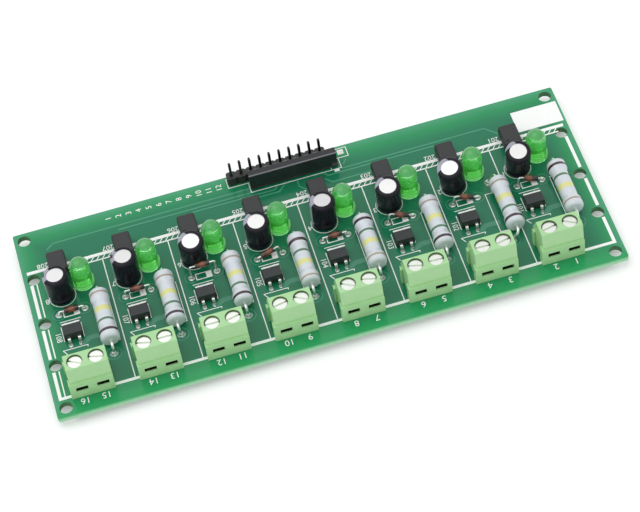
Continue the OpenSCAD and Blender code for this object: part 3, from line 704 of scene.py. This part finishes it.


# Bridge rectifiers: black epoxy moulded round a lead frame, whose four tinned gull-wing leads are
# soldered flat on the board. The mould leaves the faces finely frosted. A white painted highlight
# runs along the bevel at the back, for the light that it reflects.
bridge_tones = ((0.019, 0.024, 0.025, 1), (0.031, 0.037, 0.038, 1))
bevel_painted_highlight = (0.90, 0.91, 0.90, 1)
lead_tones = ((0.84, 0.84, 0.83, 1), (0.97, 0.97, 0.96, 1))
lead_bright = (0.95, 0.95, 0.94, 1)
foot_painted_shade = (0.30, 0.35, 0.32, 1)
moulded_edge = 0.09
flat_within = math.radians(0.5)
sharp_from = math.radians(40)
bevel_lean = 0.3
foot_fade = (0.7, 0.3)


def soften(node, width):
    """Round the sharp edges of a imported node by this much, as its mould does."""
    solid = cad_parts[node]
    solid.modifiers.new("joined", "WELD").merge_threshold = touching * MM
    faces = solid.modifiers.new("faces", "DECIMATE")
    faces.decimate_type = "DISSOLVE"
    faces.angle_limit = flat_within
    rounding = solid.modifiers.new("rounding", "BEVEL")
    rounding.width = width * MM
    rounding.segments = 2
    rounding.limit_method = "ANGLE"
    rounding.angle_limit = sharp_from
    solid.modifiers.new("cleaned", "WELD").merge_threshold = touching * MM


bridge_finish, place = new_finish("bridge_epoxy")
epoxy = mix(speckle(place, 3.0), *bridge_tones)
# Painted highlight on the back bevel, where it faces up and back towards the light.
on_bevel = (facing(place, "Y") > bevel_lean) * (facing(place, "Z") > bevel_lean)
feed(
    bridge_finish,
    Base_Color=mix(on_bevel, epoxy, bevel_painted_highlight),
    Roughness=0.42 + 0.16 * speckle(place, 6.0),
    Normal=bump(speckle(place, 14.0), 0.012),
)
dress("bridge_rectifiers", bridge_finish)
soften("bridge_rectifiers", moulded_edge)
lead_finish, place = new_finish("tinned_lead", Metallic=1.0)
feed(
    lead_finish,
    Base_Color=mix(speckle(place, 2.0), *lead_tones),
    Roughness=0.2 + 0.18 * speckle(place, 4.0),
    Normal=bump(speckle(place, 6.0), 0.006),
)
foot_finish, place = new_finish("soldered_lead", Metallic=1.0)
# Painted shade: the bottom of each lead, where it meets the board, is painted dark and greenish.
shade_on_foot = smooth_step(axis(place, "Z") - board_top, *foot_fade)
feed(
    foot_finish,
    Base_Color=mix(shade_on_foot, lead_bright, foot_painted_shade),
    Roughness=0.2 + 0.18 * speckle(place, 4.0),
    Normal=bump(speckle(place, 6.0), 0.006),
)
dress("bridge_pins", foot_finish)


# Diodes: small bodies of red-brown glass sealed round the chip, darker towards the cathode. Their
# wires are bent by hand, so that no two stand alike, and soldered from below.
glass_fade = (0.1, 1.2)
glass_red = (0.250, 0.072, 0.034, 1)
glass_brown = (0.060, 0.021, 0.014, 1)
cathode_fade = (0.5, 1.3)
cathode_dark = (0.014, 0.011, 0.011, 1)
diode_finish, place = new_finish("diode_glass", Coat_Weight=0.6)
along = across_channel(place) - diode_offset
glass = mix(smooth_step(abs(along), *glass_fade), glass_red, glass_brown)
feed(
    diode_finish,
    Base_Color=mix(smooth_step(along, *cathode_fade), glass, cathode_dark),
    Roughness=0.08 + 0.08 * speckle(place, 2.0),
)
dress("diodes", diode_finish)
dress("diode_leads", lead_finish)


# Power resistors: a ceramic rod between two pressed end caps, dipped in pale grey lacquer and
# banded in colour. They are set by hand, some with the first band at the front and some behind.
lacquer_tones = ((0.59, 0.645, 0.70, 1), (0.71, 0.755, 0.80, 1))
resistor_middle = -5.1
bands = (
    (-5.45, 0.78, (0.042, 0.018, 0.026, 1)),
    (-2.15, 0.66, (0.072, 0.185, 0.096, 1)),
    (1.25, 1.45, (0.720, 0.720, 0.290, 1)),
    (5.95, 0.55, (0.380, 0.320, 0.250, 1)),
)
band_blur = 0.06
band_wave = 0.12
set_by_hand = {
    8: (1, 0.0),
    7: (1, -0.7),
    6: (1, -0.7),
    5: (-1, -0.5),
    4: (-1, 0.1),
    3: (1, -0.6),
    2: (1, -0.4),
    1: (-1, 0.2),
}


def resistor_finish(name, way, shift):
    """Pale lacquer with shifted bands, counted from the front or, with way -1, from behind."""
    material, place = new_finish(name, Coat_Weight=0.6)
    along = way * (axis(place, "Y") - resistor_middle - shift)
    along = along + band_wave * (speckle(place, 0.8) - 0.5)
    colour = mix(speckle(place, 1.1), *lacquer_tones)
    for middle, width, ink in bands:
        inside = smooth_step(abs(along - middle), width / 2 + band_blur, width / 2 - band_blur)
        colour = mix(inside, colour, ink)
    feed(
        material,
        Base_Color=colour,
        Roughness=0.24 + 0.14 * speckle(place, 1.5),
        Normal=bump(speckle(place, 1.3), 0.05),
    )
    return material


for channel, (way, shift) in set_by_hand.items():
    dress(f"resistor_{channel}", resistor_finish(f"resistor_lacquer_{channel}", way, shift))
dress("resistor_leads", lead_finish)


# Electrolytic capacitors: an aluminium can crimped over a rubber bung, in a black shrink sleeve
# with a grey stripe on the side of the negative lead. The top of the can stays bare.
can_tones = ((0.70, 0.71, 0.71, 1), (0.78, 0.78, 0.77, 1))
sleeve_black = (0.009, 0.009, 0.015, 1)
stripe_grey = (0.36, 0.36, 0.44, 1)
dash_dark = (0.03, 0.03, 0.035, 1)
bung_tones = ((0.016, 0.016, 0.016, 1), (0.030, 0.030, 0.030, 1))
stripe_turn = 0.3
stripe_half = 0.65
stripe_blur = 0.03
dash_pitch = 2.1
dash_half_turn = 0.2
dash_half = 0.5
can_finish, place = new_finish("can_aluminium", Metallic=1.0)
feed(
    can_finish,
    Base_Color=mix(speckle(place, 0.8), *can_tones),
    Roughness=0.34 + 0.1 * speckle(place, 5.0),
    Normal=bump(speckle(place, 7.0), 0.004),
)
sleeve_finish, place = new_finish("sleeve_film", Specular_IOR_Level=0.2)
across = across_channel(place) - capacitor_offset
depth = axis(place, "Y") - capacitor_y
from_stripe = abs(across.math("ARCTAN2", depth, -1 * across) - stripe_turn)
stripe = smooth_step(from_stripe, stripe_half + stripe_blur, stripe_half)
from_dash = abs(axis(place, "Z") % dash_pitch - dash_pitch / 2)
dash = (from_stripe < dash_half_turn) * (from_dash < dash_half)
feed(
    sleeve_finish,
    Base_Color=mix(stripe, sleeve_black, mix(dash, stripe_grey, dash_dark)),
    Roughness=0.2 + 0.1 * speckle(place, 2.0),
    Normal=bump(speckle(place, 1.5), 0.02),
)
bung_finish, place = new_finish("bung_rubber")
feed(
    bung_finish,
    Base_Color=mix(speckle(place, 4.0), *bung_tones),
    Roughness=0.7 + 0.15 * speckle(place, 6.0),
)
for channel in channels:
    dress(f"capacitor_{channel}", can_finish)
dress("capacitor_sleeves", sleeve_finish)
dress("capacitor_bungs", bung_finish)
dress("capacitor_leads", lead_finish)


# Indicator lights: cloudy green epoxy cast round a stamped lead frame and soldered by its two legs.
# Painted highlights run along the edges of the skirt and in an arc across the dome, painted shade
# darkens the lens where the cup of the lead frame ends, and a faint painted glow lifts it all.
# Colour by height, with painted highlights and painted shade in it.
lens_light_and_shade = (
    (0.00, (0.600, 1.000, 0.650, 1)),
    (0.20, (0.550, 0.980, 0.600, 1)),
    (0.34, (0.120, 0.600, 0.110, 1)),
    (0.74, (0.120, 0.600, 0.110, 1)),
    (0.88, (0.420, 0.950, 0.450, 1)),
    (1.02, (0.130, 0.650, 0.115, 1)),
    (2.40, (0.095, 0.620, 0.070, 1)),
    (3.90, (0.105, 0.660, 0.085, 1)),
    (4.60, (0.175, 0.900, 0.185, 1)),
    (7.00, (0.150, 0.780, 0.170, 1)),
    (7.60, (0.085, 0.430, 0.130, 1)),
    (8.60, (0.100, 0.480, 0.155, 1)),
)
arc_rise = 7.4
arc_half = 0.13
arc_core = 0.052
arc_sides = (0.45, 0.7)
arc_painted_highlight = (0.650, 1.000, 0.700, 1)
lens_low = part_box("led_1")[0][2] / MM
# The emission is a faint painted glow; the light is not switched on.
lens_finish, place = new_finish(
    "led_epoxy", Transmission_Weight=0.7, IOR=1.5, Coat_Weight=0.4, Emission_Strength=0.13,
)
rise = axis(place, "Z") - lens_low
on_arc = smooth_step(abs(rise - arc_rise), arc_half, arc_core)
on_arc = on_arc * smooth_step(abs(facing(place, "Y")), *arc_sides)
lit = mix(on_arc, ramp(rise, lens_light_and_shade), arc_painted_highlight)
feed(
    lens_finish,
    Base_Color=lit,
    Emission_Color=lit,
    Roughness=0.06 + 0.03 * speckle(place, 1.0),
)
for channel in channels:
    dress(f"led_{channel}", lens_finish)
dress("led_leads", lead_finish)


# Optocouplers: black epoxy moulded round two facing lead frames, with a dimple at the first pin.
# The mould frosts the top face, which is painted lighter than the sides as light from above, and the
# pins are tinned and bent down through the board.
opto_sides = (0.016, 0.017, 0.018, 1)
opto_top_painted_light = (0.029, 0.030, 0.032, 1)
body_rounding = 0.38
rounding_steps = 4
longest_detail = 1.5
top_fade = (0.8, 0.95)


def round_body(node, width):
    """A copy of a packed moulding, in millimetres, with its long edges rounded."""
    shape = bmesh.new()
    shape.from_mesh(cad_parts[node].data)
    bmesh.ops.scale(shape, vec=(1 / MM, 1 / MM, 1 / MM), verts=shape.verts[:])
    bmesh.ops.remove_doubles(shape, verts=shape.verts[:], dist=touching)
    bmesh.ops.dissolve_limit(
        shape, angle_limit=flat_within, verts=shape.verts[:], edges=shape.edges[:],
    )
    sharp = [edge for edge in shape.edges if edge.calc_face_angle(0.0) > sharp_from]
    sharp = [edge for edge in sharp if edge.calc_length() > longest_detail]
    bmesh.ops.bevel(
        shape, geom=sharp, offset=width, segments=rounding_steps, profile=0.5,
        affect="EDGES", material=-1,
    )
    return shape


opto_finish, place = new_finish("opto_epoxy")
# Painted light: the top face is lighter than the sides.
on_top = smooth_step(facing(place, "Z"), *top_fade)
feed(
    opto_finish,
    Base_Color=mix(on_top, opto_sides, opto_top_painted_light),
    Roughness=0.46 + 0.14 * speckle(place, 5.0),
    Normal=bump(speckle(place, 12.0), 0.012),
)
for channel in channels:
    shape = round_body(f"optocoupler_{channel}", body_rounding)
    body = add_piece(f"optocoupler_body_{channel}", shape, opto_finish)
    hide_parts(f"optocoupler_{channel}")
dress("optocoupler_pins", lead_finish)


# Resistor network: film resistors on one ceramic strip, dipped in glossy black epoxy and stood
# upright on a row of tinned pins, close in front of the header. A pale painted highlight runs along
# the top of the front shoulder.
network_tones = ((0.014, 0.016, 0.018, 1), (0.028, 0.030, 0.033, 1))
shoulder_painted_highlight = (0.210, 0.207, 0.240, 1)
dipped_edge = 0.1
shoulder_lean = 0.35
highlight_strip = 0.2
network_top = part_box("resistor_network")[1][2] / MM
network_finish, place = new_finish("network_epoxy")
epoxy = mix(speckle(place, 3.0), *network_tones)
# Painted highlight along the top of the front shoulder, where it faces up and forward.
on_shoulder = (facing(place, "Y") < -shoulder_lean) * (facing(place, "Z") > shoulder_lean)
highlight_on_shoulder = on_shoulder * (axis(place, "Z") > network_top - highlight_strip)
feed(
    network_finish,
    Base_Color=mix(highlight_on_shoulder, epoxy, shoulder_painted_highlight),
    Roughness=0.16 + 0.10 * speckle(place, 5.0),
    Normal=bump(speckle(place, 0.7, 1.0), 0.02),
)
dress("resistor_network", network_finish)
soften("resistor_network", dipped_edge)
dress("network_pins", lead_finish)


# Pin header: ten square plated pins pressed through a strip of black nylon, which is moulded in
# long lengths with a notch between the pins, snapped off to length and soldered from below.
strip_tones = ((0.020, 0.021, 0.022, 1), (0.038, 0.039, 0.040, 1))
pin_tones = ((0.090, 0.088, 0.088, 1), (0.150, 0.148, 0.146, 1))
header_finish, place = new_finish("header_nylon")
feed(
    header_finish,
    Base_Color=mix(speckle(place, 4.0), *strip_tones),
    Roughness=0.4 + 0.15 * speckle(place, 6.0),
    Normal=bump(speckle(place, 10.0), 0.01),
)
pin_finish, place = new_finish("header_pin", Metallic=1.0)
feed(
    pin_finish,
    Base_Color=mix(speckle(place, 2.0), *pin_tones),
    Roughness=0.26 + 0.14 * speckle(place, 3.0),
)
dress("header_housing", header_finish)
soften("header_housing", moulded_edge)
dress("header_pins", pin_finish)


# Terminal blocks: housings moulded in pale green nylon, each with two wire entries and two screw
# wells. A stamped clamp box, a wire guard and a slotted plated screw drop into each well, and the
# pins of the clamp boxes are soldered from below.
nylon_tones = ((0.37, 0.66, 0.31, 1), (0.42, 0.71, 0.36, 1))
# Painted shade: the clamp boxes and guards are painted dark, as shade deep in the wire entries.
clamp_painted_shade_tones = ((0.13, 0.14, 0.12, 1), (0.20, 0.21, 0.18, 1))
plating_tones = ((0.84, 0.89, 0.82, 1), (0.92, 0.96, 0.89, 1))
well_reach = 1.95
wall_lean = 0.3
well_shade = (0.140, 0.260, 0.100, 1)
head_fade = (1.4, 1.72)
head_rim = (0.52, 0.53, 0.49, 1)


def from_screw(place):
    """How far the surface is from the axis of the nearest clamp screw."""
    across = abs(across_channel(place) - terminal_offset) - way_half
    deep = axis(place, "Y") - screw_y
    return place.math("SQRT", across * across + deep * deep)


terminal_finish, place = new_finish("terminal_nylon", Coat_Weight=0.15)
nylon = mix(speckle(place, 0.5), *nylon_tones)
in_well = (from_screw(place) < well_reach) * (facing(place, "Z") < wall_lean)
feed(
    terminal_finish,
    Base_Color=mix(in_well, nylon, well_shade),
    Roughness=0.34 + 0.14 * speckle(place, 3.0),
    Normal=bump(speckle(place, 6.0), 0.012),
)
# The clamp metal is painted dark for the shade inside the housing.
clamp_finish, place = new_finish("clamp_plating_in_painted_shade", Metallic=1.0)
feed(
    clamp_finish,
    Base_Color=mix(speckle(place, 1.5), *clamp_painted_shade_tones),
    Roughness=0.4 + 0.2 * speckle(place, 3.0),
)
screw_finish, place = new_finish("screw_plating", Metallic=1.0)
plating = mix(speckle(place, 1.5), *plating_tones)
feed(
    screw_finish,
    Base_Color=mix(smooth_step(from_screw(place), *head_fade), plating, head_rim),
    Roughness=0.22 + 0.16 * speckle(place, 4.0),
    Normal=bump(speckle(place, 5.0), 0.01),
)
for channel in channels:
    dress(f"terminal_housing_{channel}", terminal_finish)
dress("terminal_contacts", clamp_finish)
dress("terminal_guards", clamp_finish)
dress("terminal_screws", screw_finish)


# Studio: a pale floor that runs out of sight, even white surroundings and one large soft lamp high
# above the board, to its left. The camera looks down on the board from its front left.
white = (1, 1, 1, 1)
floor_colour = (0.86, 0.86, 0.86, 1)
floor_glow = 0.22
floor_reach = 3000.0
surroundings = 0.86
lamp_size = 1250.0
lamp_power = 3.8
lamp_place = Vector((-350.0, 200.0, 1200.0))
view_turn = 8.084
view_height = 52.107
view_roll = -9.357
view_distance = 560.49
view_aim = Vector((0.46, -3.33, board_top))
view_lens = 130.616
view_sensor = 36.0

floor_finish, place = new_finish(
    "studio_floor", Base_Color=floor_colour, Roughness=0.9, Emission_Color=white,
)
rays = ("Is Camera Ray", "Is Glossy Ray", "Is Transmission Ray")
seen = sum(place.node("ShaderNodeLightPath", {}, {}, ray) for ray in rays)
feed(floor_finish, Emission_Strength=floor_glow * seen)
floor_shape = bmesh.new()
bmesh.ops.create_grid(floor_shape, x_segments=1, y_segments=1, size=floor_reach * MM)
floor_mesh = bpy.data.meshes.new("floor")
floor_shape.to_mesh(floor_mesh)
floor_shape.free()
floor_mesh.materials.append(floor_finish)
floor = bpy.data.objects.new("floor", floor_mesh)
bpy.context.collection.objects.link(floor)

scene = bpy.context.scene
scene.view_settings.view_transform = "Standard"
world = bpy.data.worlds.new("studio")
world.use_nodes = True
scene.world = world
sky = Socket(world.node_tree, None)
camera_ray = sky.node("ShaderNodeLightPath", {}, {}, "Is Camera Ray")
strength = surroundings + (1 - surroundings) * camera_ray
backdrop = world.node_tree.nodes["Background"]
backdrop.inputs["Color"].default_value = white
world.node_tree.links.new(strength.link, backdrop.inputs["Strength"])

lamp = bpy.data.lights.new("soft_lamp", "AREA")
lamp.shape = "DISK"
lamp.size = lamp_size * MM
lamp.energy = lamp_power
lamp_holder = bpy.data.objects.new("soft_lamp", lamp)
lamp_holder.location = lamp_place * MM
lamp_holder.rotation_euler = lamp_place.to_track_quat("Z", "Y").to_euler()
bpy.context.collection.objects.link(lamp_holder)

turned, raised = math.radians(view_turn), math.radians(view_height)
away = Vector((
    -math.sin(turned) * math.cos(raised), -math.cos(turned) * math.cos(raised), math.sin(raised),
))
camera_data = bpy.data.cameras.new("camera")
camera_data.lens = view_lens
camera_data.sensor_width = view_sensor
camera_data.clip_start = 10 * MM
camera = bpy.data.objects.new("camera", camera_data)
facing_board = away.to_track_quat("Z", "Y").to_matrix().to_4x4()
camera.matrix_world = (
    Matrix.Translation((view_aim + view_distance * away) * MM)
    @ facing_board
    @ Matrix.Rotation(math.radians(view_roll), 4, "Z")
)
bpy.context.collection.objects.link(camera)
scene.camera = camera
